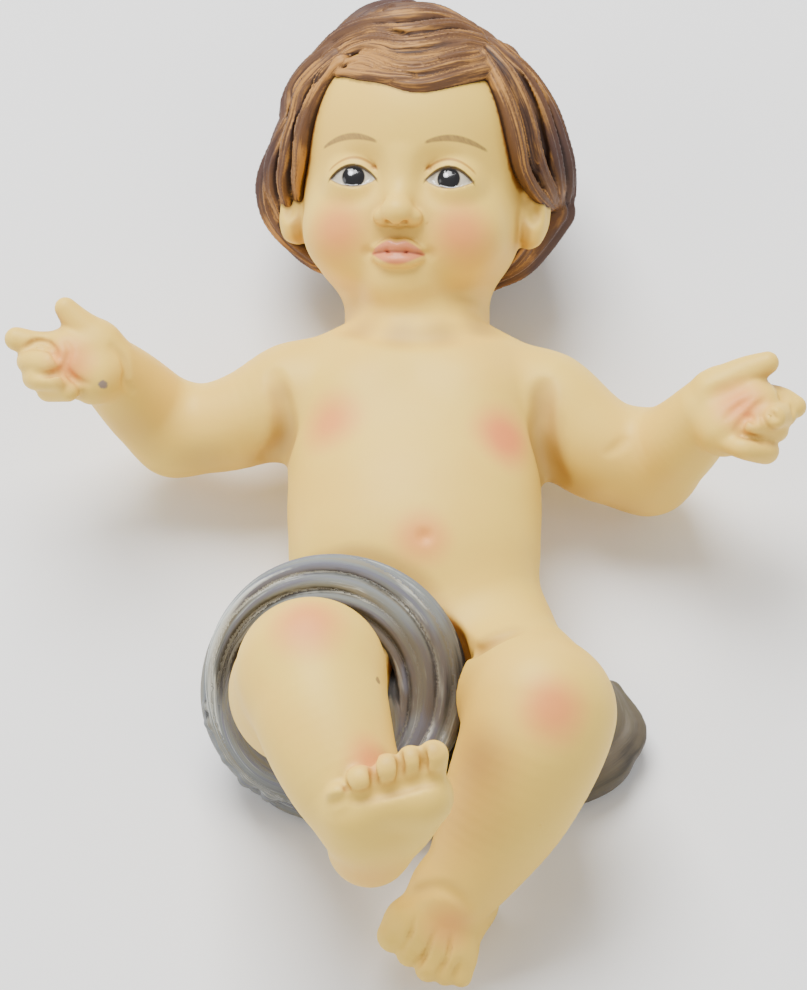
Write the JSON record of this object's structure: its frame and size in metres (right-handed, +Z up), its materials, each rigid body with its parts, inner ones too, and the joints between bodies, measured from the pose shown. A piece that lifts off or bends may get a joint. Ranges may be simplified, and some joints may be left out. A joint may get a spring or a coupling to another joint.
{
  "type": "baby jesus figurine",
  "caption": "Baby figurine lying on its back, arms raised to the sides, one knee up and a cloth rucked round the thigh, cast in one piece and painted.",
  "frame": {"origin": "on the flat spot under the lower back, at the level of the ground that the figure lies on", "axes": "+Y towards the crown of the head, +X to the figure's own left hand, +Z up, out of the chest"},
  "size_m": [0.0799, 0.1046, 0.0343],
  "materials": {
    "painted_resin": "matte hand-painted cast resin: ivory flesh, brown hair, grey-blue cloth, washed creases"
  },
  "bodies": {
    "root": {"figurine": "painted_resin"}
  },
  "joints": []
}
